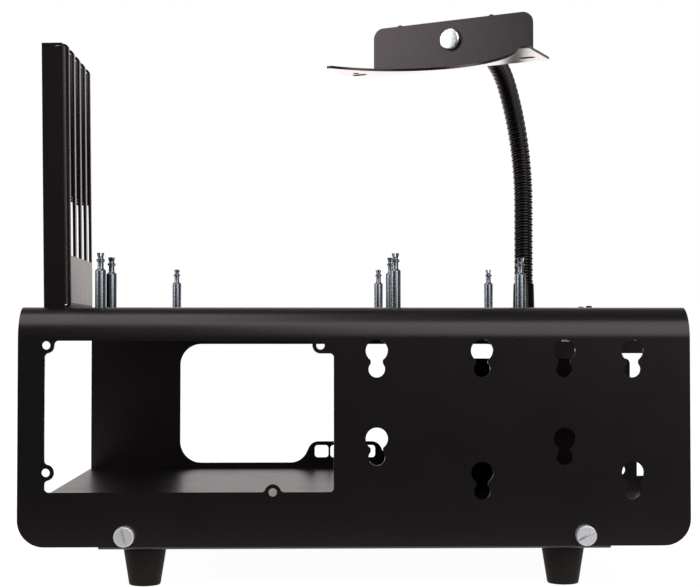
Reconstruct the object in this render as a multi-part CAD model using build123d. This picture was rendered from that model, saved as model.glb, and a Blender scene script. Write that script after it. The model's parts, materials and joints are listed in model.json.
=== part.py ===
from build123d import *
from math import cos, radians, sin
import os

# Open air test bench for a small computer main board, in millimetres
# X runs along the long side, the power supply wall faces -Y, Z is up
# The origin is on the ground under the middle of the shell

# Main sizes of the folded sheet steel bench
length = 340.0
depth = 270.0
shell_height = 120.8
sheet = 1.5
top_bend = 16.0
foot_height = 20.0
rail_drop = 1.7
wall_corner = 13.5
fold_radius = 3.2
edge_break = 0.8
fine_break = 0.5
tiny = 0.01

shell_bottom = foot_height + rail_drop
tray_top = shell_bottom + shell_height
tray_under = tray_top - sheet
front_y = -depth / 2
rear_y = depth / 2

# Base tray under the bench
floor_drop = 103.3
rail_length = 259.4
rail_lip = 30.0
base_play = 0.3
floor_top = tray_top - floor_drop
base_depth = depth - 2 * (sheet + base_play)

# Thumbscrews that hold the shell to the base
thumb_x = 116.0
thumb_up = 5.7
thumb_head_d = 10.4
thumb_head_t = 6.0
thumb_shank_d = 4.0
thumb_shank_l = 9.0
thumb_slot_w = 1.2
thumb_slot_deep = 1.6
screw_play = 0.1
hole_play = 0.3
press_nut_d = 8.0
press_nut_t = 2.5
thumb_slot_turns = {("left", -1): 110, ("right", -1): 28, ("left", 1): 55, ("right", 1): 10}

# Rubber feet and their screws
foot_x = 108.0
foot_in = 21.0
foot_top_d = 22.4
foot_low_d = 16.0
foot_bore_d = 4.2
foot_pocket_d = 9.0
foot_pocket_deep = 11.0
foot_screw_d = 4.0
foot_washer_d = 8.6
foot_washer_t = 0.8
foot_screw_head_d = 7.0
foot_screw_head_t = 2.6
screw_past_nut = 1.0
nut_flats = 7.0
nut_t = 3.0

# Pan head screws, as shares of their thread diameter
pan_head_wide = 2.0
pan_head_tall = 0.6
pan_head_round = 0.4
pan_cross_w = 0.25
card_screw_l = 8.0
small_screw_l = 7.0

# Power supply cut-out with its four ears, seen from the front
psu_left = -156.5
psu_right = -11.1
psu_top_drop = 17.2
psu_low_drop = 93.4
psu_hole_x = -155.8
psu_hole_drop = 19.5
psu_pattern = [(0.0, 0.0), (138.0, 0.0), (0.0, -64.0), (114.0, -74.0)]
psu_hole_d = 4.2
psu_ear_r = 4.1
psu_corner = 2.0

# Drive keyholes in the front wall
key_top_drop = 22.2
key_big_r = 5.6
key_small_r = 4.15
key_step = 9.4
key_neck = 6.1
key_round = 1.0
large_drive_x = 10.65
large_drive_pattern = (95.25, 44.45)
small_drive_x = 64.0
small_drive_pattern = (76.6, 61.72)

# Opening in the rear wall, with a tab that has four plain slots
rear_open_w = 220.4
rear_open_drop = 19.9
rear_open_h = 79.8
rear_open_corner = 14.0
tab_x = 0.6
tab_top_w = 45.0
tab_low_w = 58.0
tab_height = 14.2
tab_round = 7.0
tab_sweep = 12.0
tab_slot_w = 9.2
tab_slot_h = 8.2
tab_slot_pitch = 10.5
tab_slot_up = 7.55
tab_slot_count = 4

# Cut-outs in the tray
access_x = -27.0
access_y = 33.0
access_w = 110.0
access_d = 106.0
access_corner = 12.0
cable_slot_x = 143.0
cable_slot_y = 78.0
cable_slot_w = 18.0
cable_slot_l = 58.0

# Main board standoffs: the columns run in X and the rows in Y
board_left = -143.2
board_front = front_y + 2.9
column_x = [10.16, 165.1, 237.49]
row_y = [30.48, 76.2, 233.68]
corner_column = 33.02
standoff_d = 5.7
standoff_height = 20.0
standoff_stud_d = 3.4
standoff_stud_l = 6.0
neck_d = 3.3
neck_l = 1.6
head_d = 4.3
head_low_l = 3.4
groove_d = 3.3
groove_l = 1.2
head_top_l = 2.7
head_top_d = 4.0
head_lead = 0.4
split_up = 2.4
head_split = 1.1
standoff_turns = (20, 75, 40, 110, 5, 60, 130, 90)
small_nut_flats = 5.5
small_nut_t = 2.4

# Card bracket: a plate with four slots, folded outward at its front, top and foot
card_face_x = -148.4
card_front = front_y + 31.4
card_pitch = 20.32
card_slots = 4
card_height = 139.6
card_deep = 13.9
card_sheet = 1.5
card_strip = 4.6
card_end_strip = 2.5
card_slot_low = 27.6
card_slot_in = 4.4
card_relief = 0.4
card_corner = 3.0
card_screw_d = 4.0
card_screw_slots = (0.5, 3.5)
tab_screw_d = 3.2

# Drive plate that stands on the floor behind the keyholes
drive_plate_y = front_y + 112.0
drive_plate_left = 52.0
drive_plate_right = 162.1
drive_plate_drop = 27.6
drive_step_x = 3.8
drive_step_drop = 56.0
drive_foot_x = 3.6
drive_foot_drop = 95.4
drive_foot_l = 14.0
drive_round = 3.0
drive_hole_d = 6.2
drive_hole_x = 156.1
drive_hole_drop = 92.0
drive_hole_rise = 44.45

# Gooseneck arm: straight, long bend, short bend, straight
arm_x = 106.4
arm_y = 20.3
arm_turn = 33.3
arm_tube_d = 10.7
arm_valley_d = 9.3
arm_rib = 3.4
arm_straight = 46.9
arm_long_bend = 120.0
arm_long_angle = 35.5
arm_short_bend = 40.0
arm_end_straight = 18.6
ferrule_d = 13.8
ferrule_top_d = 12.4
ferrule_l = 17.5
ferrule_stub_d = 10.0
ferrule_stub_l = 12.0
end_ferrule_d = 12.0
end_ferrule_l = 18.0
end_thread_d = 5.0
end_thread_deep = 10.0
swivel_play = 0.05
arm_nut_flats = 17.0
arm_nut_t = 5.0
arm_washer_d = 20.0
arm_washer_t = 1.5

# Fan bracket at the end of the arm
fan_outline = [(-60.0, 0.0), (-57.5, -39.0), (65.5, -37.5), (60.0, 0.0)]
fan_hole_pitch = 105.0
fan_plate_l = 100.0
fan_plate_h = 27.7
fan_sheet = 1.5
fan_corner = 6.0
fan_arc_r = 63.5
fan_arc_centre = (3.0, -66.0)
fan_tip_round = 1.0
fan_slot_in = 11.6
fan_slot_l = 9.0
fan_slot_w = 4.4
fan_extra_step = 5.4
fan_extra_d = 3.6
fan_pivot_up = 16.85
fan_heel = 1.2
fan_screw_d = 12.2
fan_screw_t = 2.6
fan_screw_edge = 0.75
nub_places = (-33.0, 25.0)
nub_w = 2.0
nub_h = 0.6
pivot_gap = 0.05

# Push buttons with their small board under the tray
button_x = 136.6
button_y = [-33.0, -6.5]
button_d = 3.5
button_up = 2.7
button_travel = 0.5
button_hole_play = 0.4
button_flange_d = 4.6
button_flange_t = 1.2
switch_size = 6.0
switch_height = 4.0
switch_wall = 1.0
board_t = 1.6
board_w = 20.0
board_l = 46.0
board_corner = 1.5
board_drop = 15.0
hanger_sheet = 1.2
hanger_right = 167.6
hanger_drop = 24.4
hanger_foot = 9.0
hanger_shelf_in = 2.0
hanger_sight_d = 4.0
header_w = 2.5
header_l = 12.7
header_h = 8.5
hanger_screw_d = 3.0
flush_head_d = 4.6


def box_between(low, high):
    """A box from its lowest to its highest corner."""
    size = [b - a for a, b in zip(low, high)]
    middle = [(a + b) / 2 for a, b in zip(low, high)]
    return Pos(*middle) * Box(*size)


def upright_rod(x, y, z, diameter, height):
    """A cylinder that stands on the height z."""
    rod = Cylinder(diameter / 2, height, align=(Align.CENTER, Align.CENTER, Align.MIN))
    return Pos(x, y, z) * rod


def hex_nut(flats, thickness, bore):
    """A hexagon nut that lies on the XY plane, with its edges turned round."""
    across_corners = flats / cos(radians(30))
    blank = extrude(RegularPolygon(across_corners / 2, 6), thickness)
    edge = (across_corners - flats) / 3
    turned = Cylinder(across_corners / 2, thickness, align=(Align.CENTER, Align.CENTER, Align.MIN))
    turned = chamfer(turned.edges().filter_by(GeomType.CIRCLE), edge)
    hole = Cylinder((bore + screw_play) / 2, 3 * thickness)
    return (blank & turned) - hole


def wall_plane(y, outward):
    """A drawing plane on a long side, with X to the right and Z up."""
    if outward < 0:
        return Plane(origin=(0, y, 0), x_dir=(1, 0, 0), z_dir=(0, -1, 0))
    return Plane(origin=(0, y, 0), x_dir=(-1, 0, 0), z_dir=(0, 1, 0))


def fold(width, height, wall, bend):
    """The section of a sheet folded down at both sides."""
    low_middle = (Align.CENTER, Align.MIN)
    outer = Rectangle(width, height, align=low_middle)
    outer = fillet(outer.vertices().group_by(Axis.Y)[-1], bend)
    inner = Rectangle(width - 2 * wall, height - wall, align=low_middle)
    inner = fillet(inner.vertices().group_by(Axis.Y)[-1], bend - wall)
    return outer - inner


def psu_opening():
    """The power supply cut-out, with ears left round the four screw holes."""
    top = tray_top - psu_top_drop
    low = tray_top - psu_low_drop
    middle = Pos((psu_left + psu_right) / 2, (top + low) / 2)
    opening = middle * Rectangle(psu_right - psu_left, top - low)
    hole_z = tray_top - psu_hole_drop
    places = [Pos(psu_hole_x + dx, hole_z + dz) for dx, dz in psu_pattern]
    for place in places:
        opening -= place * Circle(psu_ear_r)
    corner_x = psu_hole_x + psu_pattern[1][0]
    corner_low = hole_z - psu_ear_r
    corner = Rectangle(psu_right - corner_x, top - corner_low)
    opening -= Pos((psu_right + corner_x) / 2, (top + corner_low) / 2) * corner
    opening = fillet(opening.vertices(), psu_corner)
    holes = [place * Circle(psu_hole_d / 2) for place in places]
    return Sketch() + [opening] + holes


def keyhole():
    """A keyhole: a large hole, and a smaller one below it."""
    shape = Circle(key_big_r) + Pos(0, -key_step) * Circle(key_small_r)
    shape += Pos(0, -key_step / 2) * Rectangle(key_neck, key_step)
    return fillet(shape.vertices(), key_round)


def keyhole_places():
    """The middle of each keyhole's large hole, on the front wall."""
    top = tray_top - key_top_drop
    places = []
    for left, pattern in ((large_drive_x, large_drive_pattern), (small_drive_x, small_drive_pattern)):
        for dx in (0, pattern[0]):
            for dz in (0, pattern[1]):
                places.append((left + dx, top - dz))
    return places


def rear_opening():
    """The opening in the rear wall, with the tab on its lower edge."""
    low = tray_top - rear_open_drop - rear_open_h
    opening = Rectangle(rear_open_w, rear_open_h, align=(Align.CENTER, Align.MIN))
    opening = fillet(opening.vertices(), rear_open_corner)
    corners = [(-tab_low_w / 2, 0), (-tab_top_w / 2, tab_height)]
    corners += [(-x, z) for x, z in reversed(corners)]
    tab = make_face(Polyline(*corners, close=True))
    tab = fillet(tab.vertices().group_by(Axis.Y)[-1], tab_round)
    opening -= Pos(-tab_x, 0) * tab
    feet = [v for v in opening.vertices() if abs(v.Y) < sheet / 2 and abs(v.X + tab_x) < tab_low_w / 2 + sheet]
    opening = fillet(feet, tab_sweep)
    slots = Sketch()
    for index in range(tab_slot_count):
        x = (index - (tab_slot_count - 1) / 2) * tab_slot_pitch - tab_x
        slots += Pos(x, tab_slot_up) * RectangleRounded(tab_slot_w, tab_slot_h, tab_slot_h / 4)
    return Pos(0, low) * (Sketch() + [opening, slots])


def standoff_places():
    """The eight standoffs, named by row and column."""
    places = {}
    for row, depth_in in zip(("front", "middle", "rear"), row_y):
        for column, along in zip(("left", "centre", "right"), column_x):
            if (row, column) == ("front", "right"):
                continue
            if (row, column) == ("rear", "left"):
                along = corner_column
            places[f"{row}_{column}"] = (board_left + along, board_front + depth_in)
    return places


def card_foot_holes():
    """The two screws through the card bracket's foot."""
    x = card_face_x - (card_deep + fold_radius) / 2
    return [(x, card_front + card_sheet / 2 + card_pitch * slot) for slot in card_screw_slots]


def hanger_holes():
    """The two screws that hold the button board's hanger under the tray."""
    y_low, y_high = hanger_y()
    x = (hanger_right + button_x + board_w / 2) / 2
    return [(x, y_low - hanger_foot / 2), (x, y_high + hanger_foot / 2)]


def hanger_y():
    """Front and rear of the hanger, outside its webs."""
    middle = sum(button_y) / 2
    half = board_l / 2 + hanger_shelf_in
    return middle - half, middle + half


def make_top_shell():
    """The tray and both long walls, folded from one sheet."""
    section = Pos(0, shell_bottom) * fold(depth, shell_height, sheet, top_bend)
    shell = extrude(Plane.YZ * section, length / 2, both=True)
    upright = shell.edges().filter_by(Axis.Y).group_by(Axis.Z)[0]
    corner_edges = [edge for edge in upright if abs(abs(edge.center().X) - length / 2) < sheet]
    shell = fillet(corner_edges, wall_corner)
    front = wall_plane(front_y, -1)
    rear = wall_plane(rear_y, 1)
    shell -= extrude(front * psu_opening(), 2 * sheet, both=True)
    one_key = keyhole()
    for x, z in keyhole_places():
        shell -= extrude(front * Pos(x, z) * one_key, 2 * sheet, both=True)
    shell -= extrude(rear * rear_opening(), 2 * sheet, both=True)
    thumb_hole = Circle(thumb_shank_d / 2 + hole_play)
    for x in (-thumb_x, thumb_x):
        for wall in (front, rear):
            shell -= extrude(wall * Pos(x, shell_bottom + thumb_up) * thumb_hole, 2 * sheet, both=True)
    return shell - tray_cuts()


def tray_cuts():
    """Everything that is cut through the tray."""
    cut = 4 * sheet
    low = tray_top - cut / 2
    tray = Plane.XY.offset(low)
    access = RectangleRounded(access_w, access_d, access_corner)
    cuts = [extrude(tray * Pos(access_x, access_y) * access, cut)]
    for y in (-cable_slot_y, cable_slot_y):
        slot = SlotOverall(cable_slot_l, cable_slot_w, rotation=90)
        cuts.append(extrude(tray * Pos(cable_slot_x, y) * slot, cut))
    for x, y in standoff_places().values():
        cuts.append(upright_rod(x, y, low, standoff_stud_d + screw_play, cut))
    for x, y in card_foot_holes():
        cuts.append(upright_rod(x, y, low, card_screw_d + hole_play, cut))
    for x, y in hanger_holes():
        cuts.append(upright_rod(x, y, low, flush_head_d + screw_play, cut))
    for y in button_y:
        cuts.append(upright_rod(button_x, y, low, button_d + button_hole_play, cut))
    cuts.append(upright_rod(arm_x, arm_y, low, ferrule_stub_d + 2 * swivel_play, cut))
    return cuts


def drive_plate_screws():
    """The two screws through the drive plate's foot."""
    y = drive_plate_y + drive_foot_l / 2
    inset = (drive_plate_right - drive_plate_left) / 6
    return [(drive_plate_left + inset, y), (drive_plate_right - inset, y)]


def make_base_tray():
    """The floor, folded down into two rails with lips that carry the feet."""
    drop = floor_top - foot_height
    outer = RectangleRounded(base_depth, drop, fold_radius)
    inner = RectangleRounded(base_depth - 2 * sheet, drop - 2 * sheet, fold_radius - sheet)
    gap = Pos(0, -drop / 2) * Rectangle(base_depth - 2 * rail_lip, 4 * sheet)
    section = Pos(0, foot_height + drop / 2) * (outer - inner - gap)
    tray = extrude(Plane.YZ * section, rail_length / 2, both=True)
    half_depth = base_depth / 2 - fold_radius
    tray += box_between((-length / 2, -half_depth, floor_top - sheet), (length / 2, half_depth, floor_top))
    rail_hole = Cylinder(thumb_shank_d / 2 + screw_play, 4 * sheet, rotation=(90, 0, 0))
    for x in (-thumb_x, thumb_x):
        for y in (-base_depth / 2, base_depth / 2):
            tray -= Pos(x, y, shell_bottom + thumb_up) * rail_hole
    for x, y in foot_places().values():
        tray -= upright_rod(x, y, foot_height - sheet, foot_screw_d + hole_play, 3 * sheet)
    for x, y in drive_plate_screws():
        tray -= upright_rod(x, y, floor_top - 2 * sheet, hanger_screw_d + hole_play, 3 * sheet)
    return tray


def foot_places():
    """The four feet, on the lips of the rails."""
    places = {}
    for row, y in (("front", front_y + foot_in), ("rear", rear_y - foot_in)):
        for side, x in (("left", -foot_x), ("right", foot_x)):
            places[f"{row}_{side}"] = (x, y)
    return places


def make_foot(x, y):
    """A tapered rubber foot with a pocket for its screw head."""
    body = Cone(foot_low_d / 2, foot_top_d / 2, foot_height, align=(Align.CENTER, Align.CENTER, Align.MIN))
    body = chamfer(body.edges().filter_by(GeomType.CIRCLE), edge_break)
    body -= Cylinder(foot_bore_d / 2, 3 * foot_height)
    body -= Cylinder(foot_pocket_d / 2, foot_pocket_deep, align=(Align.CENTER, Align.CENTER, Align.MIN))
    return Pos(x, y) * body


def make_foot_screw(x, y):
    """The screw and washer inside a foot, pointing up."""
    washer_low = foot_pocket_deep - foot_washer_t
    head_low = washer_low - foot_screw_head_t
    tip = foot_height + sheet + nut_t + screw_past_nut
    head = upright_rod(0, 0, head_low, foot_screw_head_d, foot_screw_head_t)
    head = chamfer(head.edges().group_by(Axis.Z)[0], edge_break)
    screw = head + upright_rod(0, 0, washer_low, foot_washer_d, foot_washer_t)
    screw += upright_rod(0, 0, head_low, foot_screw_d, tip - head_low)
    return Pos(x, y) * screw


def make_foot_nut(x, y):
    """The nut on a foot's screw, inside the rail."""
    return Pos(x, y, foot_height + sheet) * hex_nut(nut_flats, nut_t, foot_screw_d)


def make_thumbscrew():
    """A thumbscrew with a grooved rim and a slot, on the Z axis with its head up."""
    head = Cylinder(thumb_head_d / 2, thumb_head_t, align=(Align.CENTER, Align.CENTER, Align.MIN))
    head = chamfer(head.edges().filter_by(GeomType.CIRCLE), fine_break)
    slot = Pos(0, 0, thumb_head_t) * Box(2 * thumb_head_d, thumb_slot_w, 2 * thumb_slot_deep)
    shank = Cylinder(thumb_shank_d / 2, thumb_shank_l, align=(Align.CENTER, Align.CENTER, Align.MAX))
    return (head - slot) + shank


def place_thumbscrew(x, outward, slot_turn):
    """A thumbscrew in one of the long walls."""
    y = front_y if outward < 0 else rear_y
    plane = wall_plane(y, outward)
    return plane * Pos(x * -outward, shell_bottom + thumb_up) * Rot(0, 0, slot_turn) * make_thumbscrew()


def make_press_nut(x, outward):
    """A round nut pressed into the rail behind a thumbscrew."""
    inner = outward * (base_depth / 2 - sheet)
    plane = wall_plane(inner, -outward)
    nut = Circle(press_nut_d / 2) - Circle((thumb_shank_d + screw_play) / 2)
    return extrude(plane * Pos(x * outward, shell_bottom + thumb_up) * nut, press_nut_t)


def make_standoff(x, y, turn):
    """A turned standoff with a stud below and a split, grooved head above."""
    radii = [(standoff_stud_d / 2, -standoff_stud_l), (standoff_stud_d / 2, 0), (standoff_d / 2, 0),
             (standoff_d / 2, standoff_height - fine_break),
             (standoff_d / 2 - fine_break, standoff_height),
             (neck_d / 2, standoff_height)]
    level = standoff_height + neck_l
    radii += [(neck_d / 2, level), (head_d / 2, level + head_lead)]
    level += head_low_l
    radii += [(head_d / 2, level), (groove_d / 2, level), (groove_d / 2, level + groove_l),
              (head_top_d / 2, level + groove_l)]
    level += groove_l + head_top_l
    radii += [(head_top_d / 2, level - edge_break), (head_top_d / 2 - edge_break, level)]
    outline = [(0, -standoff_stud_l)] + radii + [(0, level)]
    half = make_face(Plane.XZ * Polyline(*outline, close=True))
    body = revolve(half, Axis.Z)
    split_low = standoff_height + neck_l + head_lead + split_up
    split = box_between((-head_d, -head_split / 2, split_low), (head_d, head_split / 2, level + sheet))
    return Pos(x, y, tray_top) * Rot(0, 0, turn) * (body - split)


def make_standoff_nut(x, y):
    """The nut that holds a standoff from below."""
    return Pos(x, y, tray_under - small_nut_t) * hex_nut(small_nut_flats, small_nut_t, standoff_stud_d)


def card_section():
    """The bracket seen from the front: the plate with its top flange and its foot."""
    outer = Rectangle(card_deep, card_height, align=(Align.MAX, Align.MIN))
    outer = fillet(outer.vertices().group_by(Axis.X)[-1], fold_radius)
    inner_place = Pos(-card_sheet, card_sheet)
    inner = Rectangle(card_deep, card_height - 2 * card_sheet, align=(Align.MAX, Align.MIN))
    inner = fillet(inner.vertices().group_by(Axis.X)[-1], fold_radius - card_sheet)
    return outer - inner_place * inner


def card_front_flange():
    """The flange at the front edge, seen from above, with its bend."""
    outer = Rectangle(card_deep, card_deep, align=(Align.MAX, Align.MIN))
    bend = outer.vertices().sort_by_distance((0, 0, 0))[0]
    outer = fillet(bend, fold_radius)
    inner = Rectangle(card_deep, card_deep, align=(Align.MAX, Align.MIN))
    bend = inner.vertices().sort_by_distance((0, 0, 0))[0]
    inner = fillet(bend, fold_radius - card_sheet)
    keep = Rectangle(card_deep, fold_radius, align=(Align.MAX, Align.MIN))
    return (outer - Pos(-card_sheet, card_sheet) * inner) & keep


def make_card_bracket():
    """The slotted plate with its three folded edges."""
    last = card_front + card_slots * card_pitch + card_end_strip
    section = Plane(origin=(card_face_x, last, 0), x_dir=(1, 0, 0), z_dir=(0, -1, 0)) * card_section()
    bracket = extrude(section, last - card_front - fold_radius)
    flange_low = card_sheet + card_relief
    flange = extrude(Pos(card_face_x, card_front, flange_low) * card_front_flange(),
                     card_height - 2 * flange_low)
    corners = [edge for edge in flange.edges().filter_by(Axis.Y)
               if edge.center().X < card_face_x - card_deep + tiny]
    bracket += fillet(corners, card_corner)
    for low in (0, card_height - card_sheet):
        bracket += box_between((card_face_x - card_deep, card_front, low),
                               (card_face_x - fold_radius, card_front + fold_radius, low + card_sheet))
    slot_middle = (card_strip + card_pitch) / 2
    for index in range(card_slots):
        y = card_front + index * card_pitch
        bracket -= box_between((card_face_x - card_slot_in, y + card_strip, card_slot_low),
                               (card_face_x + card_sheet, y + card_pitch, card_height + card_sheet))
        hole_x = card_face_x - (card_deep + card_slot_in) / 2
        bracket -= upright_rod(hole_x, y + slot_middle, card_height - 2 * card_sheet, tab_screw_d,
                               3 * card_sheet)
    for x, y in card_foot_holes():
        bracket -= upright_rod(x, y, -card_sheet, card_screw_d + hole_play, 3 * card_sheet)
    return Pos(0, 0, tray_top) * bracket


def make_pan_screw(diameter, length_below, x, y, z):
    """A pan head screw that points down, with its head on the height z."""
    tall = pan_head_tall * diameter
    head = upright_rod(x, y, z, pan_head_wide * diameter, tall)
    head = chamfer(head.edges().group_by(Axis.Z)[-1], pan_head_round * diameter)
    narrow = pan_cross_w * diameter
    cross = Box(diameter, narrow, tall) + Box(narrow, diameter, tall)
    return (head - Pos(x, y, z + tall) * cross) + upright_rod(x, y, z - length_below, diameter, length_below)


def make_flush_stud(x, y):
    """A stud whose flat head sits inside the tray, so that nothing stands above it."""
    head = upright_rod(x, y, tray_under, flush_head_d, sheet)
    return head + upright_rod(x, y, tray_top - small_screw_l, hanger_screw_d, small_screw_l)


def make_drive_plate():
    """The upright plate behind the keyholes, with its foot on the floor."""
    z_of = [tray_top - drop for drop in (drive_plate_drop, drive_step_drop, drive_foot_drop)]
    right = drive_plate_right
    step = right + drive_step_x
    heel = step + drive_foot_x
    points = [(drive_plate_left, floor_top), (drive_plate_left, z_of[0]), (right, z_of[0]), (right, z_of[1]),
              (step, z_of[1]), (step, z_of[2]), (heel, z_of[2]), (heel, floor_top)]
    outline = make_face(Polyline(*points, close=True))
    top_corners = outline.vertices().group_by(Axis.Y)[-1]
    outline = fillet(top_corners, drive_round)
    hole = Circle(drive_hole_d / 2)
    for rise in (0, drive_hole_rise):
        outline -= Pos(drive_hole_x, tray_top - drive_hole_drop + rise) * hole
    plane = Plane(origin=(0, drive_plate_y, 0), x_dir=(1, 0, 0), z_dir=(0, -1, 0))
    plate = extrude(plane * outline, -sheet)
    foot = box_between((drive_plate_left, drive_plate_y, floor_top),
                       (right, drive_plate_y + drive_foot_l, floor_top + sheet))
    plate += foot
    for x, y in drive_plate_screws():
        plate -= upright_rod(x, y, floor_top - sheet, hanger_screw_d + hole_play, 4 * sheet)
    return plate


def arm_path():
    """The centre line of the flexible tube, from the base ferrule to the end ferrule."""
    level = tray_top + ferrule_l
    start = Vector(0, level)
    bend_start = Vector(0, level + arm_straight)
    angle = arm_long_angle
    straight = Line(start, bend_start)
    long_centre = bend_start + Vector(arm_long_bend, 0)
    long_arc = CenterArc(long_centre, arm_long_bend, 180, -angle)
    joint = long_arc @ 1
    inward = Vector(cos(radians(angle)), -sin(radians(angle)))
    short_arc = CenterArc(joint + inward * arm_short_bend, arm_short_bend, 180 - angle, angle - 90)
    top = short_arc @ 1
    end = Line(top, top + Vector(arm_end_straight, 0))
    return Wire([straight, long_arc, short_arc, end])


def arm_frame():
    """The upright plane that the arm bends in: its X axis points to the fan bracket."""
    heading = Vector(-sin(radians(arm_turn)), -cos(radians(arm_turn)), 0)
    side = heading.cross(Vector(0, 0, 1))
    return Plane(origin=(arm_x, arm_y, 0), x_dir=heading, z_dir=side)


def make_gooseneck():
    """The flexible tube: one wall that steps in and out at each turn of its coil."""
    path = arm_frame() * arm_path()
    count = round(path.length / arm_rib)
    step = path.length / count
    side = arm_frame().z_dir
    sections = []
    for index in range(2 * count + 1):
        place = index * step / 2
        radius = arm_valley_d / 2 if index % 2 == 0 else arm_tube_d / 2
        spot = path.position_at(place, position_mode=PositionMode.LENGTH)
        along = path.tangent_at(place, position_mode=PositionMode.LENGTH)
        sections.append(Plane(origin=spot, x_dir=side, z_dir=along) * Circle(radius))
    return loft(sections, ruled=True)


def make_arm_base():
    """The lower ferrule: a conical collar on the tray, and a threaded stub below it."""
    collar = Cone(ferrule_d / 2, ferrule_top_d / 2, ferrule_l, align=(Align.CENTER, Align.CENTER, Align.MIN))
    collar = chamfer(collar.edges().group_by(Axis.Z)[-1], edge_break)
    stub = Cylinder(ferrule_stub_d / 2, ferrule_stub_l, align=(Align.CENTER, Align.CENTER, Align.MAX))
    stub = chamfer(stub.edges().group_by(Axis.Z)[0], edge_break)
    return Pos(arm_x, arm_y, tray_top) * (collar + stub)


def arm_washer_low():
    """The lower face of the washer, which runs just clear of the tray."""
    return tray_under - pivot_gap - arm_washer_t


def make_arm_washer():
    """The washer under the tray at the arm's stub."""
    ring = Circle(arm_washer_d / 2) - Circle(ferrule_stub_d / 2)
    return extrude(Pos(arm_x, arm_y, arm_washer_low()) * ring, arm_washer_t)


def make_arm_nut():
    """The nut that holds the arm to the tray."""
    nut = hex_nut(arm_nut_flats, arm_nut_t, ferrule_stub_d)
    return Pos(arm_x, arm_y, arm_washer_low() - arm_nut_t) * nut


def make_arm_end():
    """The upper ferrule, with the thread that the bracket's thumbscrew goes into."""
    path = arm_frame() * arm_path()
    spot = path @ 1
    along = path % 1
    body = Cylinder(end_ferrule_d / 2, end_ferrule_l, align=(Align.CENTER, Align.CENTER, Align.MIN))
    body = chamfer(body.edges().filter_by(GeomType.CIRCLE), fine_break)
    thread = Pos(0, 0, end_ferrule_l) * Cylinder(end_thread_d / 2, 2 * end_thread_deep)
    return Plane(origin=spot, x_dir=arm_frame().z_dir, z_dir=along) * (body - thread)


def bracket_frame():
    """Where the fan bracket sits: X along its plate, Y back to the arm, Z up."""
    path = arm_frame() * arm_path()
    face = (path @ 1) + (path % 1) * (end_ferrule_l + pivot_gap + fan_sheet)
    along = Vector(cos(radians(arm_turn)), -sin(radians(arm_turn)), 0)
    return Plane(origin=face - Vector(0, 0, fan_pivot_up), x_dir=along, z_dir=(0, 0, 1))


def make_fan_bracket():
    """The angle that carries a fan by two corners, with an arc cut out for the blades."""
    flange = make_face(Polyline(*fan_outline, close=True))
    flange -= Pos(*fan_arc_centre) * Circle(fan_arc_r)
    tips = [vertex for vertex in flange.vertices() if vertex.Y < -fan_slot_in]
    flange = fillet(tips, fan_tip_round)
    slot = SlotOverall(fan_slot_l, fan_slot_w)
    for side in (-1, 1):
        flange -= Pos(side * fan_hole_pitch / 2, -fan_slot_in) * slot
    extra = -fan_hole_pitch / 2 - fan_slot_l / 2 + fan_extra_step
    flange -= Pos(extra, -fan_slot_in - fan_extra_step) * Circle(fan_extra_d / 2)
    plate = Rectangle(fan_plate_l, fan_plate_h, align=(Align.CENTER, Align.MIN))
    plate = fillet(plate.vertices().group_by(Axis.Y)[-1], fan_corner)
    for x in nub_places:
        plate += Pos(x, fan_plate_h) * Rectangle(nub_w, 2 * nub_h)
    plate -= Pos(0, fan_pivot_up) * Circle(end_thread_d / 2 + hole_play)
    upright = extrude(Plane.XZ * plate, -fan_sheet)
    flat = extrude(Plane.XY * flange, fan_sheet)
    joined = flat + upright
    strip = box_between((-fan_plate_l / 2, -fan_sheet, 0), (fan_plate_l / 2, fan_sheet, fan_sheet))
    joined += strip
    heel = [edge for edge in joined.edges().filter_by(Axis.X)
            if abs(edge.center().Y - fan_sheet) < tiny and abs(edge.center().Z) < tiny]
    return bracket_frame() * fillet(heel, fan_heel)


def make_fan_thumbscrew():
    """The flat round screw that clamps the bracket to the arm."""
    head = upright_rod(0, 0, 0, fan_screw_d, fan_screw_t)
    head = chamfer(head.edges().group_by(Axis.Z)[-1], fan_screw_edge)
    shank = upright_rod(0, 0, -thumb_shank_l, end_thread_d - 2 * swivel_play, thumb_shank_l)
    frame = bracket_frame()
    place = Plane(origin=frame.from_local_coords(Vector(0, 0, fan_pivot_up)), x_dir=frame.x_dir,
                  z_dir=-frame.y_dir)
    return place * (head + shank)


def make_button(y):
    """The plunger of a push button, with the collar that keeps it in its switch."""
    collar_low = board_top() + switch_wall + button_travel + screw_play
    stem = upright_rod(button_x, y, collar_low, button_d, tray_top + button_up - collar_low)
    stem = fillet(stem.edges().group_by(Axis.Z)[-1], fine_break)
    return stem + upright_rod(button_x, y, collar_low, button_flange_d, button_flange_t)


def board_top():
    """The upper face of the small board under the tray."""
    return tray_top - board_drop


def make_switch(y):
    """The body of a push button: a small square case round the plunger's collar."""
    low = board_top()
    case = Pos(button_x, y, low) * Box(switch_size, switch_size, switch_height,
                                       align=(Align.CENTER, Align.CENTER, Align.MIN))
    case -= upright_rod(button_x, y, low + switch_wall, button_flange_d + 2 * screw_play,
                        switch_height - 2 * switch_wall)
    return case - upright_rod(button_x, y, low + switch_wall, button_d + 2 * screw_play, switch_height)


def make_button_board():
    """The small circuit board that carries both switches."""
    low = board_top() - board_t
    middle_y = sum(button_y) / 2
    board = Pos(button_x, middle_y, low) * Box(board_w, board_l, board_t,
                                               align=(Align.CENTER, Align.CENTER, Align.MIN))
    return fillet(board.edges().filter_by(Axis.Z), board_corner)


def make_header():
    """The pin header below the board, where the main board's leads plug in."""
    middle_y = sum(button_y) / 2
    high = board_top() - board_t
    return box_between((button_x - header_w, middle_y - header_l / 2, high - header_h),
                       (button_x + header_w, middle_y + header_l / 2, high))


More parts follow.
